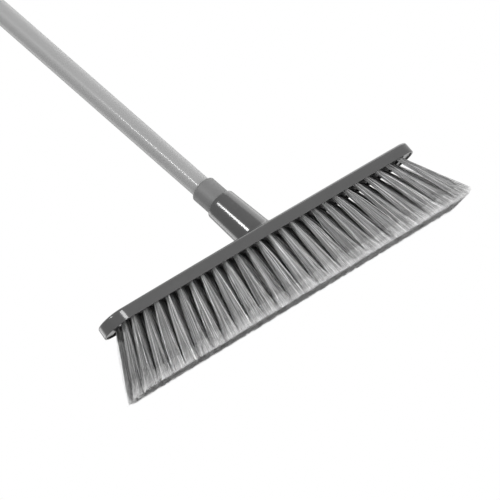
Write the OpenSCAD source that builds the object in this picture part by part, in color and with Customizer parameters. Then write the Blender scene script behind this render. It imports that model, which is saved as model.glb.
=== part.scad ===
// Push broom: a long, low head with five staggered rows of splayed bristle tufts, and a tubular
// handle that screws into a leaning socket on top of the head.
// The origin is on the floor at the middle of the bristle tips. +X runs along the head, the handle
// leans towards +Y, and +Z points up.

/* [Head] */
// Length of the head
head_len = 435; // [320:0.5:525]
// Width of the head across its rounded ends
head_w = 40.8; // [38:0.1:60]
// Height of the cover from its lip to its top edge
head_h = 12.7; // [12.4:0.1:20]
// How far each long side bows outwards at mid-length
side_bow = 2.5; // [0:0.5:5]
// How far the crown of the top rises above the top edge
crown_h = 1.6; // [0.4:0.2:3]
// Radius of the rounded top edge
top_edge_r = 2.6; // [1:0.2:3.4]
// Radius of the rounded lip under the rim
lip_r = 0.7; // [0.3:0.1:0.8]
// How far the rim leans in from the lip to the top edge, for release from the mould
rim_draft = 0.5; // [0:0.1:1]
// Wall of the rim
rim_wall = 2; // [1.6:0.1:2.4]
// Wall of the cover's top
top_wall = 2; // [1.4:0.1:2.4]
// How far the closed ends of the underside sit inside the lip
end_recess = 1.2; // [0.6:0.1:2]

/* [Socket] */
// Lean of the handle away from upright
lean = 16.2; // [0:0.1:30]
// Where the handle's axis crosses the plane of the lip, from the middle of the head
axis_y = -2.1; // [-6:0.1:2]
// Distance along the handle's axis from the lip plane to the mouth of the socket
mouth_s = 62.3; // [50:0.1:90]
// Wall of the socket at its mouth, outside the thread
socket_wall = 7.2; // [5:0.1:8]
// Growth of that radius for each millimetre towards the head
socket_taper = 0.044; // [0:0.001:0.06]
// Radius of the rounded edge round the mouth
mouth_edge_r = 1.8; // [0.5:0.1:2.5]
// Radius of the fillet between the socket and the top of the head
foot_r = 2.6; // [1:0.1:3]
// Web between the floor of the threaded bore and the moulding hollow under it
core_web = 12; // [6:0.5:16]

/* [Screw thread] */
// Rise of the thread in one turn
pitch = 5.08; // [4:0.01:6.5]
// Outside diameter of the thread on the handle's tip
thread_d = 19; // [16:0.1:23]
// Depth of the thread
thread_depth = 1.6; // [1:0.1:2]
// Length of the thread on the tip
thread_len = 25.4; // [15:0.1:30]
// Radial gap between the two threads
thread_gap = 0.25; // [0.15:0.01:0.4]

/* [Tuft plate] */
// How far the plate sits inside the lip
plate_recess = 3; // [1:0.1:3.4]
// Height of the ribs under the cover's top, which the plate rests on
rib_h = 1.3; // [0.6:0.1:1.6]
// Gap between the plate's edge and the rim
plate_gap = 0.2; // [0.1:0.05:0.5]
// Plate left beyond the last tuft at each end
plate_end = 2.4; // [1.5:0.1:4]
// Snap ridges on each long side of the plate
snap_count = 5; // [3:1:8]
// Length of a snap ridge
snap_len = 14; // [6:1:20]
// How far a snap ridge stands out into its pocket in the rim
snap_out = 0.7; // [0.4:0.1:1]

/* [Tufts] */
// Length of the bristles below the lip
bristle_len = 67; // [40:1:110]
// From each long side of the head to the middle of its outer row of tufts
row_margin = 6.4; // [6:0.1:8]
// Spacing of the tufts along a row
tuft_pitch = 15.65; // [12:0.05:20]
// Space kept between the last tuft and the tip of the head
end_margin = 14; // [12:0.5:30]
// Diameter of a tuft's hole
hole_d = 5; // [3.5:0.1:6]
// Plate left under the bottom of a hole
hole_floor = 0.8; // [0.5:0.1:1.5]
// Gap left around a tuft in its hole
hole_gap = 0.05; // [0.02:0.01:0.2]
// Spread of the tips along the head, as a multiple of the spacing at the plate
fan_x = 1.19; // [1.05:0.01:1.25]
// Spread of the tips across the head, as a multiple of the spacing at the plate
fan_y = 1.05; // [1:0.01:1.6]
// Gap between neighbouring tufts at their tips
tip_gap = 0.3; // [0.1:0.1:1]

/* [Tuft anchors] */
// How far each end of the flat wire anchor bites into the wall of its hole
anchor_bite = 0.4; // [0.2:0.1:0.6]
// Height of the anchor
anchor_h = 1.8; // [1.2:0.1:2.4]
// Thickness of the anchor
anchor_t = 0.5; // [0.3:0.1:0.8]
// Thickness of the bristle fold over the anchor
fold_t = 0.9; // [0.6:0.1:1.4]

/* [Handle] */
// Diameter of the tube
tube_d = 22; // [18:0.1:27]
// Wall of the tube
tube_wall = 0.5; // [0.4:0.1:1.2]
// Length of the tube
tube_len = 1200; // [900:10:1500]
// Wall of the tip's collar outside the tube
collar_wall = 3.2; // [2.4:0.1:4]
// Length of the collar
collar_len = 24.2; // [18:0.1:40]
// Radius of the rounded top edge of the collar
collar_edge_r = 2; // [0.5:0.1:2.2]
// Thickness of the collar's floor under the tube
collar_floor = 3; // [2:0.5:6]
// Gap between the tube and the parts pressed on it or in it
press_gap = 0.05; // [0:0.01:0.1]
// Gap between the collar and the mouth of the socket when screwed home
seat_gap = 0.2; // [0.1:0.05:1]

/* [Hang cap] */
// Depth of the plug in the top of the tube
plug_depth = 22; // [12:1:40]
// Thickness of the plug's flange
flange_t = 1.5; // [1:0.1:3]
// Diameter of the stem that the cap turns on
stem_d = 8; // [6:0.1:9]
// Radial gap between the stem and the cap
swivel_gap = 0.05; // [0.03:0.01:0.1]
// Gap at the ends of the stem and round the knob that keeps the cap on it
end_play = 0.3; // [0.2:0.05:0.6]
// How far the knob stands out beyond the stem
knob_lip = 1.2; // [0.8:0.1:1.6]
// Height of the knob
knob_h = 3; // [2:0.1:4]
// Thickness of the cap's floor, which the stem passes through
cap_floor = 4; // [3:0.1:6]
// Wall of the cap's skirt
cap_wall = 1.6; // [1.2:0.1:2.5]
// Overlap of the skirt down the outside of the tube
skirt_len = 14; // [6:0.5:24]
// Thickness of the hanging tab
tab_t = 9; // [6:0.5:12]
// Wall of the hanging tab round its hole
tab_wall = 6; // [4:0.5:7]
// Distance from the dome of the cap to the middle of the hole
tab_rise = 18; // [16:0.5:30]
// Diameter of the hanging hole
hang_d = 12; // [8:0.5:13]

/* [Hidden] */

round_fn = 96;
side_steps = 14;
end_steps = 18;
straight_len = head_len - head_w;
cavity_top = head_h - top_wall;
plate_face = plate_recess;
plate_back = cavity_top - rib_h;
hole_bottom = plate_back - hole_floor;
row_count = 5;
row_pitch = (head_w - 2 * row_margin) / (row_count - 1);
anchor_len = hole_d + 2 * anchor_bite;

// Points of a tuft's cross-section, and the width that just fits its round hole.
tuft_sides = 8;
corner = cos(180 / tuft_sides);
root_w = (hole_d - 2 * hole_gap) * corner;

// Places along the handle's axis, measured from the lip plane.
collar_s = mouth_s + seat_gap;
tube_s = collar_s + collar_floor;
tube_top_s = tube_s + tube_len;
flange_top_s = tube_top_s + flange_t;
cap_floor_s = flange_top_s + end_play;
knob_s = cap_floor_s + cap_floor + end_play;
cap_top_s = knob_s + knob_h + end_play + cap_floor;
hang_s = cap_top_s + tab_rise;
bore_s = collar_s - thread_len - end_play;
socket_r = thread_d / 2 + socket_wall;
thread_core_r = thread_d / 2 - thread_depth / 2;
tube_bore_r = tube_d / 2 - tube_wall;

// ---------- Shared shapes ----------

// A closed solid through rings of points, each listed counter-clockwise from above, lowest first.
module loft(rings) {
    n = len(rings[0]);
    last = len(rings) - 1;
    polyhedron(
        points = [for (ring = rings, p = ring) p],
        faces = concat(
            [[for (k = [0:n - 1]) k]],
            [for (j = [0:last - 1], k = [0:n - 1])
                [j * n + k, (j + 1) * n + k, (j + 1) * n + (k + 1) % n, j * n + (k + 1) % n]],
            [[for (k = [n - 1:-1:0]) last * n + k]]));
}

// Half the width of the head at x, without its rounded ends.
function half_w(x) = head_w / 2 + side_bow * (1 - pow(2 * x / straight_len, 2));

// Front side and right-hand end of the head's outline, a given distance inside it.
function half_plan(inset) = concat(
    [for (i = [0:side_steps]) let (x = straight_len * (i / side_steps - 0.5)) [x, inset - half_w(x)]],
    [for (i = [1:end_steps - 1]) let (a = 180 * i / end_steps - 90)
        [straight_len / 2 + (head_w / 2 - inset) * cos(a), (head_w / 2 - inset) * sin(a)]]);

// The whole outline as a ring at height z above the lip plane.
function plan(inset, z) = concat(
    [for (p = half_plan(inset)) [p[0], p[1], z]],
    [for (p = half_plan(inset)) [-p[0], -p[1], z]]);

// How far the rim has leaned in at height z.
function draft(z) = rim_draft * z / head_h;

// Moves its children from the lip plane's frame to the part's own.
module on_lip() { translate([0, 0, bristle_len]) children(); }

// Stands its children on the handle's axis, with +Z along it and z = 0 at the lip plane.
module on_axis() { on_lip() translate([0, axis_y, 0]) rotate([-lean, 0, 0]) children(); }

// One side of the screw thread: a round section whose centre circles the axis once in each pitch.
module thread(from_s, to_s, grow) {
    steps_per_turn = 14;
    section_points = 24;
    steps = ceil((to_s - from_s) / pitch * steps_per_turn);
    throw = thread_depth / 2;
    loft([for (j = [0:steps])
        let (s = from_s + (to_s - from_s) * j / steps, turn = 360 * s / pitch)
        [for (k = [0:section_points - 1]) let (a = 360 * k / section_points)
            [throw * cos(turn) + (thread_core_r + grow) * cos(a),
             throw * sin(turn) + (thread_core_r + grow) * sin(a), s]]]);
}

// ---------- Head cover ----------

module cover_shell() {
    edge_steps = 5;
    crown_steps = 3;
    crown_in = 10;
    loft(concat(
        [plan(lip_r, 0), plan(lip_r * 0.3, lip_r * 0.3), plan(0, lip_r)],
        [for (i = [0:edge_steps]) let (a = 90 * i / edge_steps)
            plan(rim_draft + top_edge_r * (1 - cos(a)), head_h - top_edge_r * (1 - sin(a)))],
        [for (i = [1:crown_steps]) let (a = 90 * i / crown_steps)
            plan(rim_draft + top_edge_r + crown_in * i / crown_steps, head_h + crown_h * sin(a))]));
}

// The space inside the rim up to a given height.
module inside_rim(top) {
    below = 12;
    loft([plan(rim_wall, -below), plan(rim_wall, 0), plan(rim_wall + draft(top), top)]);
}

// Keeps its children within a given distance of the middle of the head, along it.
module along_middle(half_len) {
    intersection() {
        children();
        translate([-half_len, -head_w, -head_h]) cube([2 * half_len, 2 * head_w, 3 * head_h]);
    }
}

// Shallow recess over the whole underside, and the long pocket that the plate fits in.
module cover_cavity() {
    inside_rim(end_recess);
    along_middle(plate_half + plate_gap) inside_rim(cavity_top);
}

// Ribs under the top that the back of the plate rests on.
module cover_ribs() {
    rib_t = 1.4;
    rib_count = 9;
    rib_step = straight_len / (rib_count + 1);
    for (i = [1:rib_count])
        translate([i * rib_step - straight_len / 2 - rib_t / 2, -head_w, plate_back])
            cube([rib_t, 2 * head_w, rib_h + 1]);
    for (y = [-1, 1])
        translate([-head_len / 2, y * row_pitch - rib_t / 2, plate_back])
            cube([head_len, rib_t, rib_h + 1]);
}

function snap_x(i) = straight_len * ((i + 0.5) / snap_count - 0.5);

// Snap ridges on both long sides of the plate, or the pockets for them when grown by a clearance.
module snap_ridges(grow) {
    ridge_h = 1.6;
    root = 3;
    ridge_z = (plate_face + plate_back) / 2;
    for (i = [0:snap_count - 1], side = [-1, 1]) {
        wall_y = half_w(snap_x(i)) - rim_wall - draft(ridge_z);
        translate([snap_x(i), side * (wall_y + (snap_out - root) / 2), ridge_z])
            cube([snap_len, root + snap_out, ridge_h] + 2 * grow * [1, 1, 1], center = true);
    }
}

function socket_radius(s) = socket_r + socket_taper * (mouth_s - s);

module socket_body() {
    edge_steps = 6;
    root_s = (head_h - socket_radius(0) * sin(lean)) / cos(lean) - 1;
    intersection() {
        on_axis() rotate_extrude($fn = round_fn)
            polygon(concat(
                [[0, root_s], [socket_radius(root_s), root_s]],
                [for (i = [0:edge_steps]) let (a = 90 * i / edge_steps)
                    [socket_r - mouth_edge_r * (1 - cos(a)), mouth_s - mouth_edge_r * (1 - sin(a))]],
                [[0, mouth_s]]));
        translate([-head_len, -head_len, bristle_len + lip_r]) cube(2 * head_len);
    }
}

// Fillet round the root of the socket: level ovals that widen towards the top of the head, kept
// off the rounded edge.
module socket_foot() {
    foot_steps = 5;
    foot_points = 48;
    skirt = 1.5;
    inset = rim_draft + top_edge_r / 2;
    r0 = socket_radius(head_h) - 0.1;
    oval = function(z, spread) [for (k = [0:foot_points - 1]) let (b = 360 * k / foot_points)
        [(r0 + spread) * cos(b),
         axis_y + z * tan(lean) + (r0 + spread) / cos(lean) * sin(b), z]];
    intersection() {
        loft(concat([oval(head_h - skirt, foot_r)],
            [for (j = [0:foot_steps]) let (a = 90 * j / foot_steps)
                oval(head_h + foot_r * (1 - cos(a)), foot_r * (1 - sin(a)))]));
        loft([plan(inset, 0), plan(inset, head_h + 2 * foot_r)]);
    }
}

module head_cover() {
    core_r = thread_d / 2;
    core_s = cavity_top / cos(lean) - 2;
    color("#6a6a6a")
    difference() {
        union() {
            on_lip() cover_shell();
            on_lip() socket_foot();
            socket_body();
        }
        on_lip() difference() {
            cover_cavity();
            cover_ribs();
        }
        on_lip() snap_ridges(plate_gap);
        on_axis() thread(bore_s, mouth_s + 1, thread_gap);
        on_axis() translate([0, 0, core_s])
            cylinder(h = bore_s - core_web - core_s, r = core_r, $fn = round_fn);
    }
}

// ---------- Tuft plate ----------

function row_y(row) = (row - (row_count + 1) / 2) * row_pitch;

// Most tufts that fit along the head. Odd rows hold one tuft fewer than even rows.
row_max = 2 * floor((head_len / 2 - end_margin) / tuft_pitch + 0.5);
function row_tufts(row) = row % 2 == 1 ? row_max - 1 : row_max;
function tuft_x(row, i) = (i - (row_tufts(row) - 1) / 2) * tuft_pitch;

plate_half = tuft_x(2, row_max - 1) + hole_d / 2 + plate_end;

module tuft_plate() {
    color("#1c1c1c")
    on_lip() difference() {
        union() {
            along_middle(plate_half)
                loft([plan(rim_wall + plate_gap + draft(plate_face), plate_face),
                    plan(rim_wall + plate_gap + draft(plate_back), plate_back)]);
            snap_ridges(0);
        }
        for (row = [1:row_count], i = [0:row_tufts(row) - 1])
            translate([tuft_x(row, i), row_y(row), plate_face - 1])
                cylinder(h = hole_bottom - plate_face + 1, d = hole_d, $fn = round_fn / 2);
        for (row = [1:row_count]) anchors(row);
    }
}

// ---------- Tufts and anchors ----------

module anchors(row) {
    for (i = [0:row_tufts(row) - 1])
        translate([tuft_x(row, i) - anchor_len / 2, row_y(row) - anchor_t / 2,
            hole_bottom - fold_t - anchor_h])
            cube([anchor_len, anchor_t, anchor_h]);
}

module anchor_row(row) { color("silver") on_lip() anchors(row); }

function tuft_ring(x, y, z, w, d) = [for (k = [0:tuft_sides - 1])
    let (a = 360 * (k + 0.5) / tuft_sides)
    [x + w / 2 * cos(a) / corner, y + d / 2 * sin(a) / corner, z]];

// Each tuft is upright in its hole, then splays from the plate's face down to the trimmed tips.
module bristle_row(row) {
    y = row_y(row);
    tip_w = tuft_pitch * fan_x - tip_gap;
    tip_d = row_pitch * fan_y - tip_gap;
    color("#a8a8a8")
    on_lip() difference() {
        for (i = [0:row_tufts(row) - 1]) let (x = tuft_x(row, i))
            loft([tuft_ring(x * fan_x, y * fan_y, -bristle_len, tip_w, tip_d),
                tuft_ring(x, y, plate_face, root_w, root_w),
                tuft_ring(x, y, hole_bottom, root_w, root_w)]);
        anchors(row);
    }
}

module bristle_row_1() { bristle_row(1); }
module bristle_row_2() { bristle_row(2); }
module bristle_row_3() { bristle_row(3); }
module bristle_row_4() { bristle_row(4); }
module bristle_row_5() { bristle_row(5); }
module anchor_row_1() { anchor_row(1); }
module anchor_row_2() { anchor_row(2); }
module anchor_row_3() { anchor_row(3); }
module anchor_row_4() { anchor_row(4); }
module anchor_row_5() { anchor_row(5); }

// ---------- Handle ----------

module handle_tube() {
    color("#b4b4b4")
    on_axis() translate([0, 0, tube_s]) difference() {
        cylinder(h = tube_len, d = tube_d, $fn = round_fn);
        translate([0, 0, -1]) cylinder(h = tube_len + 2, r = tube_bore_r, $fn = round_fn);
    }
}

// Screw tip, with the collar outside the tube and the spigot inside it.
module threaded_tip() {
    edge_steps = 6;
    collar_r = tube_d / 2 + collar_wall;
    spigot_r = tube_bore_r - press_gap;
    sleeve_r = tube_d / 2 + press_gap;
    collar_top = collar_s + collar_len;
    foot_chamfer = 0.6;
    color("#707070")
    on_axis() {
        rotate_extrude($fn = round_fn)
            polygon(concat(
                [[0, collar_s], [collar_r - foot_chamfer, collar_s], [collar_r, collar_s + foot_chamfer]],
                [for (i = [0:edge_steps]) let (a = 90 * i / edge_steps)
                    [collar_r - collar_edge_r * (1 - cos(a)), collar_top - collar_edge_r * (1 - sin(a))]],
                [[sleeve_r, collar_top], [sleeve_r, tube_s], [spigot_r, tube_s],
                 [spigot_r, collar_top - 1], [spigot_r - 1, collar_top], [0, collar_top]]));
        thread(collar_s - thread_len, collar_s + 1, 0);
    }
}

// Plug pressed in the top of the tube. The cap turns on its stem and is kept there by its knob.
module end_plug() {
    plug_r = tube_bore_r - press_gap;
    stem_r = stem_d / 2;
    knob_r = stem_r + knob_lip;
    color("#303030")
    on_axis() rotate_extrude($fn = round_fn)
        polygon([
            [0, tube_top_s - plug_depth], [plug_r - 1, tube_top_s - plug_depth],
            [plug_r, tube_top_s - plug_depth + 1], [plug_r, tube_top_s],
            [tube_d / 2, tube_top_s], [tube_d / 2, flange_top_s], [stem_r, flange_top_s],
            [stem_r, knob_s], [knob_r, knob_s], [knob_r - knob_lip, knob_s + knob_h],
            [0, knob_s + knob_h]]);
}

// ---------- Hang cap ----------

module hang_cap() {
    edge_steps = 6;
    skirt_gap = 0.4;
    dome_r = 5;
    inner_r = tube_d / 2 + skirt_gap;
    cap_r = inner_r + cap_wall;
    bore_r = stem_d / 2 + swivel_gap;
    knob_room_r = stem_d / 2 + knob_lip + end_play;
    root_s = cap_floor_s + cap_floor;
    tab_w = hang_d + 2 * tab_wall;
    color("#2c2c2c")
    on_axis() difference() {
        union() {
            rotate_extrude($fn = round_fn)
                polygon(concat(
                    [[0, tube_top_s - skirt_len], [cap_r, tube_top_s - skirt_len]],
                    [for (i = [0:edge_steps]) let (a = 90 * i / edge_steps)
                        [cap_r - dome_r * (1 - cos(a)), cap_top_s - dome_r * (1 - sin(a))]],
                    [[0, cap_top_s]]));
            translate([0, tab_t / 2, 0]) rotate([90, 0, 0]) linear_extrude(tab_t) union() {
                translate([0, hang_s]) circle(d = tab_w, $fn = round_fn);
                translate([-tab_w / 2, root_s]) square([tab_w, hang_s - root_s]);
            }
        }
        translate([0, 0, tube_top_s - skirt_len - 1])
            cylinder(h = cap_floor_s - tube_top_s + skirt_len + 1, r = inner_r, $fn = round_fn);
        translate([0, 0, cap_floor_s - 1]) cylinder(h = cap_floor + 2, r = bore_r, $fn = round_fn);
        translate([0, 0, root_s])
            cylinder(h = knob_h + 2 * end_play, r = knob_room_r, $fn = round_fn);
        translate([0, tab_t, hang_s]) rotate([90, 0, 0])
            cylinder(h = 2 * tab_t, d = hang_d, $fn = round_fn);
    }
}

head_cover();
tuft_plate();
bristle_row_1();
bristle_row_2();
bristle_row_3();
bristle_row_4();
bristle_row_5();
anchor_row_1();
anchor_row_2();
anchor_row_3();
anchor_row_4();
anchor_row_5();
handle_tube();
threaded_tip();
end_plug();
hang_cap();
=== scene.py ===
import math

import bmesh
import bpy
import numpy as np
from mathutils import Matrix, Vector


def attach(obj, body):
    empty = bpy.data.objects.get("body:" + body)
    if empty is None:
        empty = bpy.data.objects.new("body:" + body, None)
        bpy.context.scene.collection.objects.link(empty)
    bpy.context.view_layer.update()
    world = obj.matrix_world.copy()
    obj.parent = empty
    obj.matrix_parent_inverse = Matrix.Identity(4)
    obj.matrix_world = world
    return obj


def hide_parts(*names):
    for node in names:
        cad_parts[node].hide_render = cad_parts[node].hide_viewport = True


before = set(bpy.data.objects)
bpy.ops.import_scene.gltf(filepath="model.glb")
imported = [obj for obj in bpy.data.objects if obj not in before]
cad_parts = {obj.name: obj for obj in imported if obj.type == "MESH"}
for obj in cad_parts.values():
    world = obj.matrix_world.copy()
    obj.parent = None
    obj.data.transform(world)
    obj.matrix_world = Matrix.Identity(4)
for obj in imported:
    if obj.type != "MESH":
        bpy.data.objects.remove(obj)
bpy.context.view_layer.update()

# ---------- Studio ----------
# A pale floor well below the broom in a white surround. Soft panels light it from the front, from
# behind and from below, a fill is kept out of reflections, and a strip draws the line of light along
# the handle. The camera looks up a little at the front of the head, rolled to lean the handle left.

camera_at = Vector((-2.72954, -3.41182, -0.64777))
camera_aim = Vector((-0.01144, 0.00848, 0.07003))
camera_up = Vector((0.402, -0.483, 0.778))

back = (camera_at - camera_aim).normalized()
right = camera_up.cross(back).normalized()
up = back.cross(right).normalized()

camera = bpy.data.objects.new("camera", bpy.data.cameras.new("camera"))
camera.data.sensor_width = 36
camera.data.lens = 327.6
camera.data.clip_end = 100
camera.matrix_world = Matrix.Translation(camera_at) @ Matrix((right, up, back)).transposed().to_4x4()
bpy.context.scene.collection.objects.link(camera)
bpy.context.scene.camera = camera
bpy.context.scene.view_settings.view_transform = "Standard"


def light_panel(name, direction, distance, width, height, watts, facing=camera_aim):
    """A soft panel facing a point, off it in a direction given as right, up and back of the camera."""
    towards = (right * direction[0] + up * direction[1] + back * direction[2]).normalized()
    lamp = bpy.data.objects.new(name, bpy.data.lights.new(name, "AREA"))
    lamp.data.shape = "RECTANGLE"
    lamp.data.size, lamp.data.size_y = width, height
    lamp.data.energy = watts
    lamp.location = facing + towards * distance
    lamp.rotation_euler = towards.to_track_quat("Z", "Y").to_euler()
    bpy.context.scene.collection.objects.link(lamp)
    return lamp


light_panel("key_panel", (0.40, 0.66, 0.64), 2.4, 0.8, 0.8, 28)
light_panel("back_panel", (0.26, 0.84, -0.46), 2.6, 2.4, 1.6, 24)
fill = light_panel("fill_panel", (0.70, 0.68, 0.05), 2.6, 1.6, 1.6, 16)
fill.visible_glossy = False
along_handle = Vector((0, math.sin(math.radians(16.2)), math.cos(math.radians(16.2))))
lit_part = camera_aim + along_handle * 0.05
strip = light_panel("strip_panel", (-0.60, 0.354, 0.716), 2.5, 0.38, 0.45, 36, lit_part)
towards = (strip.location - lit_part).normalized()
across = along_handle.cross(towards).normalized()
strip.rotation_euler = Matrix((across, towards.cross(across), towards)).transposed().to_euler()
light_panel("low_panel", (0.75, -0.65, 0.1), 2.4, 1.4, 1.4, 40)
light_panel("left_panel", (-0.72, -0.42, -0.55), 2.5, 1.2, 1.2, 12)

surround = bpy.data.worlds.new("surround")
surround.use_nodes = True
bpy.context.scene.world = surround
nodes, links = surround.node_tree.nodes, surround.node_tree.links
nodes.clear()
seen_white = nodes.new("ShaderNodeBackground")
seen_white.inputs["Color"].default_value = (1, 1, 1, 1)
soft_fill = nodes.new("ShaderNodeBackground")
soft_fill.inputs["Color"].default_value = (0.9, 0.9, 0.9, 1)
soft_fill.inputs["Strength"].default_value = 0.34
path = nodes.new("ShaderNodeLightPath")
bright = nodes.new("ShaderNodeMath")
bright.operation = "MAXIMUM"
pick = nodes.new("ShaderNodeMixShader")
out = nodes.new("ShaderNodeOutputWorld")
links.new(path.outputs["Is Camera Ray"], bright.inputs[0])
links.new(path.outputs["Is Glossy Ray"], bright.inputs[1])
links.new(bright.outputs[0], pick.inputs[0])
links.new(soft_fill.outputs[0], pick.inputs[1])
links.new(seen_white.outputs[0], pick.inputs[2])
links.new(pick.outputs[0], out.inputs["Surface"])

floor_z, floor_r = -1.0, 9.0
floor_mesh = bpy.data.meshes.new("floor")
floor_mesh.from_pydata(
    [(floor_r * math.cos(math.tau * k / 64), floor_r * math.sin(math.tau * k / 64), floor_z)
     for k in range(64)], [], [list(range(64))])
floor = bpy.data.objects.new("floor", floor_mesh)
bpy.context.scene.collection.objects.link(floor)
floor_paint = bpy.data.materials.new("floor_paint")
floor_paint.use_nodes = True
nodes, links = floor_paint.node_tree.nodes, floor_paint.node_tree.links
paint = nodes["Principled BSDF"]
paint.inputs["Base Color"].default_value = (0.86, 0.86, 0.86, 1)
paint.inputs["Roughness"].default_value = 0.8
paint.inputs["Emission Color"].default_value = (1, 1, 1, 1)
paint.inputs["Emission Strength"].default_value = 0.5
clear = nodes.new("ShaderNodeBsdfTransparent")
side = nodes.new("ShaderNodeNewGeometry")
pick = nodes.new("ShaderNodeMixShader")
links.new(side.outputs["Backfacing"], pick.inputs[0])
links.new(paint.outputs[0], pick.inputs[1])
links.new(clear.outputs[0], pick.inputs[2])
links.new(pick.outputs[0], nodes["Material Output"].inputs["Surface"])
floor_mesh.materials.append(floor_paint)

# ---------- Head cover ----------
# The cover is one injection moulding in glossy grey polypropylene: a thin rim with a rounded lip
# and top edge, a slightly crowned top and a leaning socket with the handle's screw thread moulded
# in it. The tuft plate snaps into it from below.

lip_z = 0.067
head_len, head_w, head_h = 0.435, 0.0408, 0.0127
straight = head_len - head_w
side_bow, crown_h, crown_in = 0.0025, 0.0016, 0.010
top_edge_r, lip_r, rim_draft = 0.0026, 0.0007, 0.0005
rim_wall, top_wall, end_recess, pocket_half = 0.002, 0.002, 0.0012, 0.20073

lean = math.radians(16.2)
axis_foot = Vector((0, -0.0021, lip_z))
axis_frame = Matrix.Translation(axis_foot) @ Matrix.Rotation(-lean, 4, "X")
mouth_s, socket_taper, mouth_edge_r, foot_r = 0.0623, 0.044, 0.0018, 0.0026
pitch, thread_d, thread_depth, thread_gap = 0.00508, 0.019, 0.0016, 0.00025
thread_core_r = thread_d / 2 - thread_depth / 2
seat_gap, thread_len, lead_in = 0.0002, 0.0254, 0.0003
bore_s = mouth_s + seat_gap - thread_len - lead_in
socket_r = thread_d / 2 + 0.0072


def half_width(x):
    """Half the width of the head at x, without its rounded ends."""
    return head_w / 2 + side_bow * (1 - (2 * x / straight) ** 2)


def outline(inset, z, side_steps=72, end_steps=48):
    """The head's outline, a given distance inside it, at height z above the lip plane."""
    half = []
    for i in range(side_steps + 1):
        x = straight * (i / side_steps - 0.5)
        half.append((x, inset - half_width(x)))
    for i in range(1, end_steps):
        a = math.pi * i / end_steps - math.pi / 2
        r = head_w / 2 - inset
        half.append((straight / 2 + r * math.cos(a), r * math.sin(a)))
    return [Vector((x, y, lip_z + z)) for x, y in half + [(-x, -y) for x, y in half]]


def add_rings(parts, rings, cap_first=True, cap_last=True):
    """Adds a skin through rings of equal point count to a (points, faces) pair."""
    points, faces = parts
    base, n = len(points), len(rings[0])
    for ring in rings:
        points.extend(ring)
    for j in range(len(rings) - 1):
        a, b = base + j * n, base + (j + 1) * n
        faces.extend((a + k, a + (k + 1) % n, b + (k + 1) % n, b + k) for k in range(n))
    if cap_first:
        faces.append(tuple(base + k for k in reversed(range(n))))
    if cap_last:
        faces.append(tuple(base + (len(rings) - 1) * n + k for k in range(n)))
    return parts


def arc(steps, first=0):
    """Cosine and sine over a quarter turn."""
    for i in range(first, steps + 1):
        a = math.pi / 2 * i / steps
        yield math.cos(a), math.sin(a)


def make_piece(name, parts, place=None, sharp=35):
    """A smooth-shaded object from a (points, faces) pair, sharp where faces meet at over that angle."""
    mesh = bpy.data.meshes.new(name)
    mesh.from_pydata([tuple(p) for p in parts[0]], [], parts[1])
    shape = bmesh.new()
    shape.from_mesh(mesh)
    bmesh.ops.recalc_face_normals(shape, faces=shape.faces)
    shape.to_mesh(mesh)
    shape.free()
    mesh.shade_smooth()
    mesh.set_sharp_from_angle(angle=math.radians(sharp))
    piece = bpy.data.objects.new(name, mesh)
    bpy.context.scene.collection.objects.link(piece)
    if place is not None:
        piece.matrix_world = place
    return piece


def axis_ring(r, s, points=96):
    """A level circle of radius r round the handle's axis, at s along it."""
    return [Vector((r * math.cos(math.tau * k / points), r * math.sin(math.tau * k / points), s))
            for k in range(points)]


def thread_ring(s, grow, points=96):
    """One round section of the screw thread, whose centre circles the axis once in each pitch."""
    turn, throw, r = math.tau * s / pitch, thread_depth / 2, thread_core_r + grow
    return [Vector((throw * math.cos(turn) + r * math.cos(math.tau * k / points),
                    throw * math.sin(turn) + r * math.sin(math.tau * k / points), s))
            for k in range(points)]


def top_height(x, y):
    """Height of the cover's top above the lip plane at a place on it."""
    inside = half_width(min(max(x, -straight / 2), straight / 2)) - abs(y) - rim_draft
    if inside < top_edge_r:
        return head_h - top_edge_r * (1 - math.sin(math.acos(1 - max(inside, 0) / top_edge_r)))
    return head_h + crown_h * math.sin(math.pi / 2 * min((inside - top_edge_r) / crown_in, 1))


def in_pocket(ring):
    """A ring cut off square at both ends of the plate's pocket."""
    return [Vector((min(max(p.x, -pocket_half), pocket_half), p.y, p.z)) for p in ring]


cavity_top = head_h - top_wall
shell = ([], [])
add_rings(shell, [in_pocket(outline(rim_wall + rim_draft * cavity_top / head_h, cavity_top)),
                  in_pocket(outline(rim_wall + 0.0001, end_recess + 0.0003)),
                  in_pocket(outline(rim_wall + 0.00008, end_recess)),
                  outline(rim_wall + 0.00005, end_recess), outline(rim_wall, end_recess - 0.0003)]
          + [outline(rim_wall - lip_r * 0.6 * (1 - c), lip_r * (1 - s)) for c, s in arc(5)]
          + [outline(lip_r * (1 - s), lip_r * (1 - c)) for c, s in arc(5)]
          + [outline(rim_draft + top_edge_r * (1 - c), head_h - top_edge_r * (1 - s))
             for c, s in arc(10)]
          + [outline(rim_draft + top_edge_r + crown_in * i / 10,
                     head_h + crown_h * math.sin(math.pi / 2 * i / 10)) for i in range(1, 11)])

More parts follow.
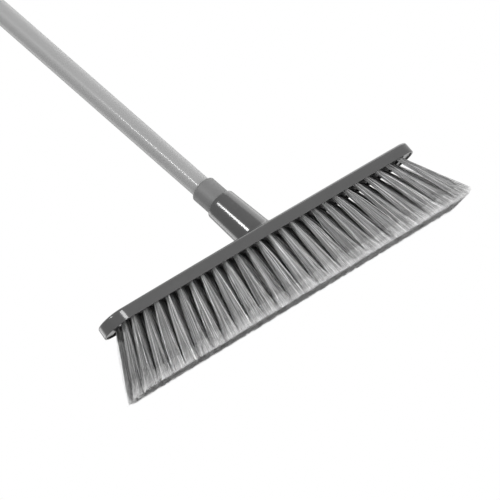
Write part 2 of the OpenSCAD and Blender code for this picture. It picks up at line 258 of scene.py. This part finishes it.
socket_points = 96
level = head_h - 0.0008
root = []
for k in range(socket_points):
    b = math.tau * k / socket_points
    r = socket_r + socket_taper * (mouth_s - level)
    s = (level + r * math.sin(lean) * math.sin(b)) / math.cos(lean)
    root.append(axis_frame @ Vector((r * math.cos(b), r * math.sin(b), s)))
socket_rings = [root]
wall_start_s = 0.021
for i in range(1, 13):
    s = wall_start_s + (mouth_s - mouth_edge_r - wall_start_s) * i / 12
    socket_rings.append([axis_frame @ p for p in axis_ring(socket_r + socket_taper * (mouth_s - s), s)])
for c, s in arc(8, 1):
    socket_rings.append([axis_frame @ p for p in axis_ring(
        socket_r - mouth_edge_r * (1 - c), mouth_s - mouth_edge_r * (1 - s))])
socket_rings.append([axis_frame @ p for p in thread_ring(mouth_s, thread_gap + lead_in)])
thread_steps = int((mouth_s - bore_s) / pitch * 32)
for i in range(1, thread_steps + 1):
    s = mouth_s - lead_in - (mouth_s - lead_in - bore_s) * i / thread_steps
    socket_rings.append([axis_frame @ p for p in thread_ring(s, thread_gap)])
add_rings(shell, socket_rings, cap_first=False)

foot_rings = []
for i in range(-1, 9):
    c, s = math.cos(math.pi / 2 * max(i, 0) / 8), math.sin(math.pi / 2 * max(i, 0) / 8)
    ring = []
    for k in range(socket_points):
        b = math.tau * k / socket_points
        r0 = socket_r + socket_taper * (mouth_s - head_h) - 0.0001
        middle_y = axis_foot.y + head_h * math.tan(lean)
        x, y = (r0 + foot_r) * math.cos(b), middle_y + (r0 + foot_r) / math.cos(lean) * math.sin(b)
        y = min(y, half_width(x) - rim_draft - top_edge_r / 2)
        z = top_height(x, y) + (foot_r * (1 - c) if i >= 0 else -0.001)
        wall_y = axis_foot.y + z * math.tan(lean) + r0 / math.cos(lean) * math.sin(b)
        ring.append(Vector((r0 * math.cos(b) + (x - r0 * math.cos(b)) * (1 - s),
                            wall_y + (y - wall_y) * (1 - s), lip_z + z)))
    foot_rings.append(ring)
add_rings(shell, foot_rings, cap_first=False, cap_last=False)
cover = make_piece("cover_moulding", shell)


def node_group(name, inputs, outputs):
    """An empty shader node group with named sockets, and its input and output nodes."""
    tree = bpy.data.node_groups.new(name, "ShaderNodeTree")
    for label, kind, value in inputs:
        socket = tree.interface.new_socket(label, in_out="INPUT", socket_type=kind)
        socket.default_value = value
    for label, kind in outputs:
        tree.interface.new_socket(label, in_out="OUTPUT", socket_type=kind)
    return tree, tree.nodes.new("NodeGroupInput"), tree.nodes.new("NodeGroupOutput")


def noise(tree, vector, scale, detail=2.0, rough=0.5):
    """A noise value at a place, with a fixed or linked scale."""
    node = tree.nodes.new("ShaderNodeTexNoise")
    node.inputs["Detail"].default_value = detail
    node.inputs["Roughness"].default_value = rough
    tree.links.new(vector, node.inputs["Vector"])
    if isinstance(scale, (int, float)):
        node.inputs["Scale"].default_value = scale
    else:
        tree.links.new(scale, node.inputs["Scale"])
    return node.outputs["Fac"]


def spread(tree, value, low, high, to_low, to_high):
    """A value mapped from one range to another, held at the ends."""
    node = tree.nodes.new("ShaderNodeMapRange")
    for label, given in (("From Min", low), ("From Max", high), ("To Min", to_low), ("To Max", to_high)):
        if isinstance(given, (int, float)):
            node.inputs[label].default_value = given
        else:
            tree.links.new(given, node.inputs[label])
    tree.links.new(value, node.inputs["Value"])
    return node.outputs[0]


def sums(tree, kind, a, b):
    """One step of arithmetic on two fixed or linked values."""
    node = tree.nodes.new("ShaderNodeMath")
    node.operation = kind
    for socket, given in zip(node.inputs, (a, b)):
        if isinstance(given, (int, float)):
            socket.default_value = given
        else:
            tree.links.new(given, socket)
    return node.outputs[0]


def stretched(tree, scales):
    """Object coordinates scaled differently along each axis."""
    coords = tree.nodes.new("ShaderNodeTexCoord")
    mapping = tree.nodes.new("ShaderNodeMapping")
    mapping.inputs["Scale"].default_value = scales
    tree.links.new(coords.outputs["Object"], mapping.inputs["Vector"])
    return mapping.outputs[0]


def tinted(tree, colour, factor):
    """A colour made lighter or darker by a factor that varies over the surface."""
    node = tree.nodes.new("ShaderNodeVectorMath")
    node.operation = "SCALE"
    tree.links.new(colour, node.inputs[0])
    tree.links.new(factor, node.inputs["Scale"])
    return node.outputs[0]


# Moulded plastic: slow flow marks in its tone, a fine spark-eroded grain, and faint rubbed spots.
moulded, given, result = node_group("moulded_plastic", [
    ("Colour", "NodeSocketColor", (0.2, 0.2, 0.2, 1)), ("Tone spread", "NodeSocketFloat", 0.06),
    ("Grain scale", "NodeSocketFloat", 1400.0), ("Roughness", "NodeSocketFloat", 0.4),
    ("Rub", "NodeSocketFloat", 0.1)],
    [("Colour", "NodeSocketColor"), ("Roughness", "NodeSocketFloat"), ("Height", "NodeSocketFloat")])
flow = noise(moulded, stretched(moulded, (14, 40, 40)), 1.0, 4.0, 0.55)
grain = noise(moulded, stretched(moulded, (1, 1, 1)), given.outputs["Grain scale"], 2.0, 0.6)
rubs = spread(moulded, noise(moulded, stretched(moulded, (60, 160, 160)), 1.0, 6.0, 0.7), 0.56, 0.72, 0, 1)
tone = sums(moulded, "ADD", 1.0, sums(moulded, "MULTIPLY", sums(moulded, "SUBTRACT", flow, 0.5),
                                      sums(moulded, "MULTIPLY", given.outputs["Tone spread"], 4.0)))
fleck = sums(moulded, "MULTIPLY", sums(moulded, "SUBTRACT", grain, 0.5), given.outputs["Tone spread"])
tone = sums(moulded, "ADD", tone, fleck)
tone = sums(moulded, "ADD", tone, sums(moulded, "MULTIPLY", rubs, given.outputs["Rub"]))
moulded.links.new(tinted(moulded, given.outputs["Colour"], tone), result.inputs["Colour"])
rough = sums(moulded, "ADD", spread(moulded, grain, 0.3, 0.7, 0.95, 1.05),
             sums(moulded, "MULTIPLY", rubs, 0.2))
moulded.links.new(sums(moulded, "MULTIPLY", given.outputs["Roughness"], rough), result.inputs["Roughness"])
moulded.links.new(sums(moulded, "SUBTRACT", grain, sums(moulded, "MULTIPLY", rubs, 0.3)),
                  result.inputs["Height"])


def plastic(name, colour, tone_spread, grain_scale, roughness, rub, bump):
    """A moulded plastic with its own colour, grain and gloss; its bump is in metres."""
    material = bpy.data.materials.new(name)
    material.use_nodes = True
    tree = material.node_tree
    surface = tree.nodes["Principled BSDF"]
    group = tree.nodes.new("ShaderNodeGroup")
    group.node_tree = moulded
    group.inputs["Colour"].default_value = (*colour, 1)
    group.inputs["Tone spread"].default_value = tone_spread
    group.inputs["Grain scale"].default_value = grain_scale
    group.inputs["Roughness"].default_value = roughness
    group.inputs["Rub"].default_value = rub
    relief = tree.nodes.new("ShaderNodeBump")
    relief.inputs["Distance"].default_value = bump
    tree.links.new(group.outputs["Height"], relief.inputs["Height"])
    tree.links.new(group.outputs["Colour"], surface.inputs["Base Color"])
    tree.links.new(group.outputs["Roughness"], surface.inputs["Roughness"])
    tree.links.new(relief.outputs["Normal"], surface.inputs["Normal"])
    return material, surface


cover_plastic, surface = plastic("cover_plastic", (0.045, 0.045, 0.045), 0.08, 3000, 0.17, 0.05, 0.0000005)
surface.inputs["IOR"].default_value = 1.5
cover.data.materials.append(cover_plastic)
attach(cover, "head")
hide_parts("head_cover")

# ---------- Tuft plate ----------
# The plate is a drilled block of matt black polypropylene that holds the tufts. It sits three
# millimetres inside the lip and is kept there by snap ridges in pockets of the rim.

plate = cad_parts["tuft_plate"]
plate_plastic, surface = plastic("plate_plastic", (0.012, 0.012, 0.012), 0.2, 1600, 0.62, 0.5, 0.00004)
plate.data.materials.clear()
plate.data.materials.append(plate_plastic)

# ---------- Tuft anchors ----------
# Each tuft is folded over a short piece of bright flat wire that is driven into its hole and
# bites into the walls. The wire is drawn steel with fine lines along it.

anchor_steel = bpy.data.materials.new("anchor_steel")
anchor_steel.use_nodes = True
tree = anchor_steel.node_tree
surface = tree.nodes["Principled BSDF"]
drawn = noise(tree, stretched(tree, (300, 9000, 9000)), 1.0, 3.0, 0.6)
shade = tree.nodes.new("ShaderNodeValToRGB")
shade.color_ramp.elements[0].color = (0.42, 0.42, 0.42, 1)
shade.color_ramp.elements[1].color = (0.68, 0.68, 0.68, 1)
tree.links.new(drawn, shade.inputs["Fac"])
tree.links.new(shade.outputs["Color"], surface.inputs["Base Color"])
tree.links.new(spread(tree, drawn, 0.3, 0.7, 0.22, 0.42), surface.inputs["Roughness"])
surface.inputs["Metallic"].default_value = 1.0
for row in range(1, 6):
    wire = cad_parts[f"anchor_row_{row}"]
    wire.data.materials.clear()
    wire.data.materials.append(anchor_steel)

# ---------- Bristles ----------
# The bristles are grey monofilament, 0.4 mm thick, folded and set in five staggered rows. They
# splay from the plate to the trimmed tips, where each is split into finer flags that look paler.
# Their colour also carries painted shade that darkens the inner rows towards the roots, painted
# glints on a few strands, and painted light that lightens the very ends.

row_pitch, tuft_pitch, fan_x, fan_y = 0.0070, 0.01565, 1.19, 1.05
plate_face = lip_z + 0.003
tufts_in_row = {1: 25, 2: 26, 3: 25, 4: 26, 5: 25}
filament_r, flag_r, flag_len = 0.00020, 0.00010, 0.013
filaments_per_tuft, flags_per_filament = 150, 3
# Painted shade: how dark each row's filaments are painted at the root, darkest in the inner rows, standing
# in for shade between the tufts and under the head.
painted_root_shade = {1: 0.85, 2: 0.22, 3: 0.12, 4: 0.22, 5: 0.85}
end_lean, lean_from, lean_over = 0.007, 0.13, 0.065
end_lift, lift_from, lift_over, row_lift = 0.0045, 0.225, 0.022, 0.0002
root_depth, split_at = 0.003, 0.84
root_z = plate_face + root_depth
shaft_t = np.array([0.0, 0.35, 0.7, 1.0])
along_shaft = np.append(shaft_t[:-1], split_at)
last_stretch = (shaft_t[-1] - shaft_t[-2]) * root_z
draw = np.random.default_rng(20260501)


def strand_rings(centres, radii, phases):
    """Three-sided rings round paths of points: centres is (strand, step, 3), radii is per step."""
    angles = phases[:, None, None] + np.arange(3)[None, None, :] * math.tau / 3
    ring = np.stack([np.cos(angles), np.sin(angles), np.zeros_like(angles)], axis=-1)
    return centres[:, :, None, :] + ring * radii[None, :, None, None]


def strand_faces(strands, steps, base):
    """Side faces and a tip face for three-sided strands laid out one after another."""
    first = base + np.arange(strands)[:, None, None] * steps * 3
    j, k = np.meshgrid(np.arange(steps - 1), np.arange(3), indexing="ij")
    a = first + (j * 3 + k)[None]
    b = first + (j * 3 + (k + 1) % 3)[None]
    quads = np.stack([b, a, a + 3, b + 3], axis=-1).reshape(-1, 4)
    tip = base + np.arange(strands)[:, None] * steps * 3 + (steps - 1) * 3
    return quads, tip + np.arange(3)[None]


bristle = bpy.data.materials.new("bristle_filament")
bristle.use_nodes = True
tree = bristle.node_tree
surface = tree.nodes["Principled BSDF"]
strand = tree.nodes.new("ShaderNodeAttribute")
strand.attribute_name = "strand"
along = tree.nodes.new("ShaderNodeAttribute")
along.attribute_name = "along"
# The shade attribute carries painted shade: it darkens the inner-row filaments towards their roots.
shade = tree.nodes.new("ShaderNodeAttribute")
shade.attribute_name = "shade"
base_tone = spread(tree, strand.outputs["Fac"], 0.0, 0.9, 0.1, 0.55)
# Painted glint: a few strands are painted much lighter, standing in for highlights on single filaments.
glint = spread(tree, strand.outputs["Fac"], 0.93, 0.95, 0.0, 0.35)
# The flagged ends are paler in their own colour. The second lift over the very ends is painted light that
# stands in for light on the shaded undersides of the tips.
pale_flags_and_painted_light = sums(tree, "ADD", spread(tree, along.outputs["Fac"], 0.78, 1.0, 0.0, 0.34),
             spread(tree, along.outputs["Fac"], 0.93, 1.0, 0.0, 0.3))
mottle = spread(tree, noise(tree, stretched(tree, (90, 90, 40)), 1.0, 3.0), 0.3, 0.7, 0.9, 1.1)
tone = sums(tree, "MULTIPLY", sums(tree, "ADD", base_tone, glint), mottle)
tone = sums(tree, "ADD", sums(tree, "MULTIPLY", tone, shade.outputs["Fac"]), pale_flags_and_painted_light)
grey = tree.nodes.new("ShaderNodeCombineColor")
for channel in ("Red", "Green", "Blue"):
    tree.links.new(tone, grey.inputs[channel])
tree.links.new(grey.outputs[0], surface.inputs["Base Color"])
tree.links.new(spread(tree, strand.outputs["Fac"], 0.0, 1.0, 0.5, 0.28), surface.inputs["Roughness"])

for row, tufts in tufts_in_row.items():
    row_y = (row - 3) * row_pitch
    tuft_x = (np.arange(tufts) - (tufts - 1) / 2) * tuft_pitch
    count = tufts * filaments_per_tuft
    x0 = np.repeat(tuft_x, filaments_per_tuft)
    radius, angle = np.sqrt(draw.random(count)), math.tau * draw.random(count)
    a, b = radius * np.cos(angle), radius * np.sin(angle)
    square = 1 + 0.12 * np.abs(np.sin(2 * angle)) * radius
    root_off = 0.0022 * np.stack([a, b], axis=1)
    tip_off = np.stack([tuft_pitch * fan_x * 0.47 * a * square, row_pitch * fan_y * 0.46 * b * square],
                       axis=1) + draw.normal(0, 0.0005, (count, 2))
    strand_value = draw.random(count)
    stray = strand_value > 0.97
    middle = np.stack([x0, np.full(count, row_y)], axis=1)
    tip_middle = middle * np.array([fan_x, fan_y])
    tip_middle[:, 0] += end_lean * np.clip((x0 - lean_from) / lean_over, 0, 1) ** 2
    tip_x = tip_middle[:, 0] + tip_off[:, 0]
    lift = end_lift * np.clip((tip_x - lift_from) / lift_over, 0, 1) ** 2 + row_lift * (row - 1)
    tip_z = 0.0002 + 0.0012 * draw.random(count) ** 2 + lift
    opened = (np.clip((shaft_t - 0.05) / 0.95, 0, 1) ** 1.25)[None, :, None]
    path = np.empty((count, len(shaft_t), 3))
    path[:, :, :2] = (middle[:, None] + (tip_middle - middle)[:, None] * shaft_t[None, :, None]
                      + root_off[:, None] + (tip_off - root_off)[:, None] * opened)
    path[:, :, 2] = root_z + (tip_z[:, None] - root_z) * shaft_t[None]
    bow = draw.normal(0, 1, (count, 1, 2)) * np.where(stray, 0.0022, 0.0006)[:, None, None]
    path[:, :, :2] += bow * np.sin(math.pi * shaft_t)[None, :, None]
    tip = path[:, -1].copy()
    flag_root = path[:, -2] + (path[:, -1] - path[:, -2]) * (1 - flag_len / last_stretch)
    path[:, -1] = flag_root
    points = [strand_rings(path, np.array([1, 1, 0.97, 0.9]) * filament_r,
                           math.tau * draw.random(count)).reshape(-1, 3)]
    quads, ends = strand_faces(count, len(shaft_t), 0)
    side_faces, end_faces = [quads], [ends]
    strand_values = [np.repeat(strand_value, len(shaft_t) * 3)]
    along_values = [np.tile(np.repeat(along_shaft, 3), count)]
    base = count * len(shaft_t) * 3
    for _ in range(flags_per_filament):
        away = draw.normal(0, 0.0006, (count, 3)) * np.array([1, 1, 0])
        end = tip + away
        end[:, 2] = 0.0001 + 0.003 * draw.random(count) ** 3 + lift
        flag_path = np.stack([flag_root, end], axis=1)
        points.append(strand_rings(flag_path, np.array([1.3, 0.8]) * flag_r,
                                   math.tau * draw.random(count)).reshape(-1, 3))
        quads, ends = strand_faces(count, 2, base)
        side_faces.append(quads)
        end_faces.append(ends)
        strand_values.append(np.repeat(strand_value, 6))
        along_values.append(np.tile(np.repeat(np.array([split_at, 1.0]), 3), count))
        base += count * 6
    points = np.concatenate(points)
    quads, ends = np.concatenate(side_faces), np.concatenate(end_faces)
    mesh = bpy.data.meshes.new(f"filaments_{row}")
    mesh.vertices.add(len(points))
    mesh.vertices.foreach_set("co", points.astype(np.float32).ravel())
    mesh.loops.add(quads.size + ends.size)
    mesh.loops.foreach_set("vertex_index", np.concatenate([quads.ravel(), ends.ravel()]).astype(np.int32))
    mesh.polygons.add(len(quads) + len(ends))
    mesh.polygons.foreach_set("loop_start", np.concatenate(
        [np.arange(len(quads)) * 4, quads.size + np.arange(len(ends)) * 3]).astype(np.int32))
    mesh.update(calc_edges=True)
    strand_value, along_value = np.concatenate(strand_values), np.concatenate(along_values)
    # Painted shade: inner-row strands are darkened at the root, lifted towards the tips and at the open ends
    # of the rows.
    open_air = np.clip(along_value / 0.85, 0, 1) ** 1.3
    outermost = np.clip((np.abs(x0) - 0.185) / 0.012, 0, 1)
    painted_root_tone = painted_root_shade[row] + (1 - painted_root_shade[row]) * outermost
    painted_root_tone = np.concatenate([np.repeat(painted_root_tone, 12)] + [np.repeat(painted_root_tone, 6)] * flags_per_filament)
    painted_shade_value = painted_root_tone + (1 - painted_root_tone) * open_air
    for label, values in (("strand", strand_value), ("along", along_value), ("shade", painted_shade_value)):
        attribute = mesh.attributes.new(label, "FLOAT", "POINT")
        attribute.data.foreach_set("value", values.astype(np.float32))
    mesh.shade_smooth()
    mesh.materials.append(bristle)
    filaments = bpy.data.objects.new(f"filaments_{row}", mesh)
    bpy.context.scene.collection.objects.link(filaments)
    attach(filaments, "head")
    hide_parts(f"bristle_row_{row}")

# ---------- Threaded tip ----------
# The tip is a moulding in matt dark grey polypropylene, pressed over and into the end of the tube.
# Its collar stands above the socket, and its coarse thread screws into the head.

collar_s = mouth_s + seat_gap
tube_s = collar_s + 0.003
tube_r, tube_bore_r = 0.011, 0.0105
collar_r, collar_len, collar_edge_r = tube_r + 0.0032, 0.0242, 0.002
collar_top = collar_s + collar_len
tip_parts = ([], [])
collar_rings = [thread_ring(collar_s, 0.0)]
collar_rings += [axis_ring(collar_r - 0.0006 * (1 - s), collar_s + 0.0006 * (1 - c)) for c, s in arc(5)]
collar_rings += [axis_ring(collar_r, collar_s + collar_len * i / 5) for i in range(1, 5)]
collar_rings += [axis_ring(collar_r - collar_edge_r * (1 - c), collar_top - collar_edge_r * (1 - s))
                 for c, s in arc(10)]
collar_rings += [axis_ring(tube_r + 0.00015, collar_top), axis_ring(tube_r + 0.00005, collar_top - 0.0002),
                 axis_ring(tube_r + 0.00005, tube_s)]
add_rings(tip_parts, collar_rings, cap_first=False)
thread_bottom = collar_s - thread_len
steps = 200
thread_rings = [thread_ring(thread_bottom, -0.0007)]
thread_rings += [thread_ring(thread_bottom + 0.0007 + (thread_len - 0.0007) * i / steps, 0.0)
                 for i in range(steps + 1)]
add_rings(tip_parts, thread_rings, cap_last=False)
tip = make_piece("tip_moulding", tip_parts, axis_frame, sharp=50)
tip_plastic, surface = plastic("tip_plastic", (0.105, 0.105, 0.105), 0.05, 2600, 0.55, 0.12, 0.00006)
tip.data.materials.append(tip_plastic)
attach(tip, "handle")
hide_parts("threaded_tip")

# ---------- Handle tube ----------
# The handle is a thin welded steel tube with a pale grey baked coating. The coating follows the
# fine lines left by the rolls and the flattened weld along the back of the tube.

tube_len = 1.2
tube_top_s = tube_s + tube_len
tube_parts = ([], [])
edge = 0.00015
profile = [(tube_bore_r, tube_s + edge), (tube_bore_r + edge, tube_s), (tube_r - edge, tube_s),
           (tube_r, tube_s + edge)]
profile += [(tube_r, tube_s + tube_len * i / 24) for i in range(1, 24)]
profile += [(tube_r, tube_top_s - edge), (tube_r - edge, tube_top_s),
            (tube_bore_r + edge, tube_top_s), (tube_bore_r, tube_top_s - edge)]
profile += [(tube_bore_r, tube_s + tube_len * i / 6) for i in (5, 4, 3, 2, 1)]
profile.append(profile[0])
add_rings(tube_parts, [axis_ring(r, s, 128) for r, s in profile], cap_first=False, cap_last=False)
tube = make_piece("tube_steel", tube_parts, axis_frame)
tube_coating = bpy.data.materials.new("tube_coating")
tube_coating.use_nodes = True
tree = tube_coating.node_tree
surface = tree.nodes["Principled BSDF"]
lines = noise(tree, stretched(tree, (900, 900, 3)), 1.0, 4.0, 0.6)
cloud = noise(tree, stretched(tree, (30, 30, 9)), 1.0, 3.0)
peel = noise(tree, stretched(tree, (700, 700, 500)), 1.0, 1.0)
place = tree.nodes.new("ShaderNodeTexCoord")
parts = tree.nodes.new("ShaderNodeSeparateXYZ")
tree.links.new(place.outputs["Object"], parts.inputs[0])
off_seam = sums(tree, "ABSOLUTE", parts.outputs["X"], 0.0)
behind = sums(tree, "GREATER_THAN", parts.outputs["Y"], 0.0)
seam = sums(tree, "MULTIPLY", spread(tree, off_seam, 0.0003, 0.0008, 1.0, 0.0), behind)
tone = sums(tree, "ADD", spread(tree, cloud, 0.3, 0.7, 0.97, 1.03),
            spread(tree, lines, 0.3, 0.7, -0.015, 0.015))
tone = sums(tree, "SUBTRACT", tone, sums(tree, "MULTIPLY", seam, 0.08))
colour = tree.nodes.new("ShaderNodeRGB")
colour.outputs[0].default_value = (0.235, 0.235, 0.235, 1)
tree.links.new(tinted(tree, colour.outputs[0], tone), surface.inputs["Base Color"])
tree.links.new(spread(tree, cloud, 0.3, 0.7, 0.44, 0.5), surface.inputs["Roughness"])
relief = tree.nodes.new("ShaderNodeBump")
relief.inputs["Distance"].default_value = 0.0000015
height = sums(tree, "ADD", sums(tree, "MULTIPLY", lines, 0.5), sums(tree, "MULTIPLY", peel, 0.5))
tree.links.new(sums(tree, "ADD", height, sums(tree, "MULTIPLY", seam, 3.0)), relief.inputs["Height"])
tree.links.new(relief.outputs["Normal"], surface.inputs["Normal"])
surface.inputs["Specular IOR Level"].default_value = 0.3
surface.inputs["Coat Weight"].default_value = 0.14
surface.inputs["Coat Roughness"].default_value = 0.12
tube.data.materials.append(tube_coating)
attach(tube, "handle")
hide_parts("handle_tube")

# ---------- End plug ----------
# The plug is a matt black moulding pressed into the top of the tube. Its flange closes the tube,
# and the hang cap turns on its stem and is kept there by the knob.

stem_r, knob_lip, knob_h, flange_t = 0.004, 0.0012, 0.003, 0.0015
plug_r = tube_bore_r - 0.00005
plug_s = tube_top_s - 0.022
flange_top = tube_top_s + flange_t
cap_floor_s = flange_top + 0.0003
knob_s = cap_floor_s + 0.004 + 0.0003
knob_top = knob_s + knob_h
plug_parts = ([], [])
profile = [(plug_r - 0.001, plug_s), (plug_r - 0.0003, plug_s + 0.0002), (plug_r, plug_s + 0.001)]
for i in range(4):
    groove = plug_s + 0.003 + i * 0.0045
    profile += [(plug_r, groove), (plug_r - 0.0004, groove + 0.0006), (plug_r - 0.0004, groove + 0.0016),
                (plug_r, groove + 0.0022)]
profile += [(plug_r, tube_top_s), (tube_r - 0.0002, tube_top_s), (tube_r, tube_top_s + 0.0002)]
profile += [(tube_r - 0.0004 * (1 - c), flange_top - 0.0004 * (1 - s)) for c, s in arc(4)]
profile += [(stem_r, flange_top), (stem_r, knob_s), (stem_r + knob_lip - 0.0002, knob_s),
            (stem_r + knob_lip, knob_s + 0.0002)]
profile += [(stem_r + 0.0002, knob_top - 0.0002), (stem_r - 0.0002, knob_top)]
add_rings(plug_parts, [axis_ring(r, s) for r, s in profile])
plug = make_piece("plug_moulding", plug_parts, axis_frame)
plug_plastic, surface = plastic("plug_plastic", (0.03, 0.03, 0.03), 0.15, 2200, 0.5, 0.3, 0.00005)
plug.data.materials.append(plug_plastic)
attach(plug, "handle")
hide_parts("end_plug")

# ---------- Hang cap ----------
# The cap is a matt dark grey moulding that snaps over the plug's knob and turns on it. Its skirt
# covers the end of the tube, and its rounded tab has the hole for a hook.

skirt_s = tube_top_s - 0.014
inner_r = tube_r + 0.0004
cap_r, dome_r = inner_r + 0.0016, 0.005
cap_top = knob_top + 0.0003 + 0.004
hang_s = cap_top + 0.018
tab_t, hole_r, tab_w = 0.009, 0.006, 0.024
cap_parts = ([], [])
profile = [(inner_r, cap_floor_s), (inner_r, skirt_s + 0.0003), (inner_r + 0.0003, skirt_s),
           (cap_r - 0.0005, skirt_s), (cap_r - 0.00015, skirt_s + 0.00015), (cap_r, skirt_s + 0.0005)]
for i in range(3):
    bead = skirt_s + 0.003 + i * 0.0026
    profile += [(cap_r, bead), (cap_r - 0.0003, bead + 0.0003), (cap_r - 0.0003, bead + 0.0009),
                (cap_r, bead + 0.0012)]
profile += [(cap_r - dome_r * (1 - c), cap_top - dome_r * (1 - s)) for c, s in arc(14)]
dome_rings = [axis_ring(r, s) for r, s in profile]
add_rings(cap_parts, dome_rings, cap_first=False)
bore_r, room_r = stem_r + 0.00005, stem_r + knob_lip + 0.0003
room_s = cap_floor_s + 0.004
add_rings(cap_parts, [axis_ring(r, s) for r, s in (
    (inner_r, cap_floor_s), (bore_r + 0.0003, cap_floor_s), (bore_r, cap_floor_s + 0.0003), (bore_r, room_s),
    (room_r, room_s), (room_r, room_s + knob_h + 0.0006))], cap_first=False)

tab_edge_r, hole_edge_r, tab_root = 0.0018, 0.0011, cap_top - 0.0039
tab_side = [tab_root + (hang_s - tab_root) * i / 12 for i in range(12)]
arch = [(tab_w / 2 * math.cos(math.pi * i / 48), hang_s + tab_w / 2 * math.sin(math.pi * i / 48),
         math.cos(math.pi * i / 48), math.sin(math.pi * i / 48)) for i in range(49)]
arch += [(-tab_w / 2, z, -1, 0) for z in reversed(tab_side)]
arch += [(0.8 * tab_w * (i / 24 - 0.5), tab_root, 0, -0.1) for i in range(25)]
arch += [(tab_w / 2, z, 1, 0) for z in tab_side]


def tab_row(c, s, side):
    """Points round the tab's outer edge, at a step of the rounding on one of its faces."""
    return [Vector((x - tab_edge_r * (1 - c) * out_x, side * (tab_t / 2 - tab_edge_r * (1 - s)),
                    z - tab_edge_r * (1 - c) * out_z)) for x, z, out_x, out_z in arch]


def hole_row(c, s, side):
    """Points round the tab's hole, each in line with the point of the outer edge."""
    r = hole_r + hole_edge_r * (1 - c)
    angles = [math.atan2(z - hang_s, x) for x, z, *_ in arch]
    return [Vector((r * math.cos(a), side * (tab_t / 2 - hole_edge_r * (1 - s)), hang_s + r * math.sin(a)))
            for a in angles]


onto_face = list(arc(6)) + [(-0.2, 1)]
tab_rows = [tab_row(c, s, -1) for c, s in reversed(onto_face)] + [tab_row(c, s, 1) for c, s in onto_face]
tab_rows += [hole_row(c, s, 1) for c, s in reversed(onto_face)] + [hole_row(c, s, -1) for c, s in onto_face]
add_rings(cap_parts, tab_rows + tab_rows[:1], cap_first=False, cap_last=False)
cap = make_piece("cap_moulding", cap_parts, axis_frame)
cap_plastic, surface = plastic("cap_plastic", (0.06, 0.06, 0.06), 0.1, 2000, 0.45, 0.3, 0.00005)
cap.data.materials.append(cap_plastic)
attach(cap, "hanger")
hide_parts("hang_cap")
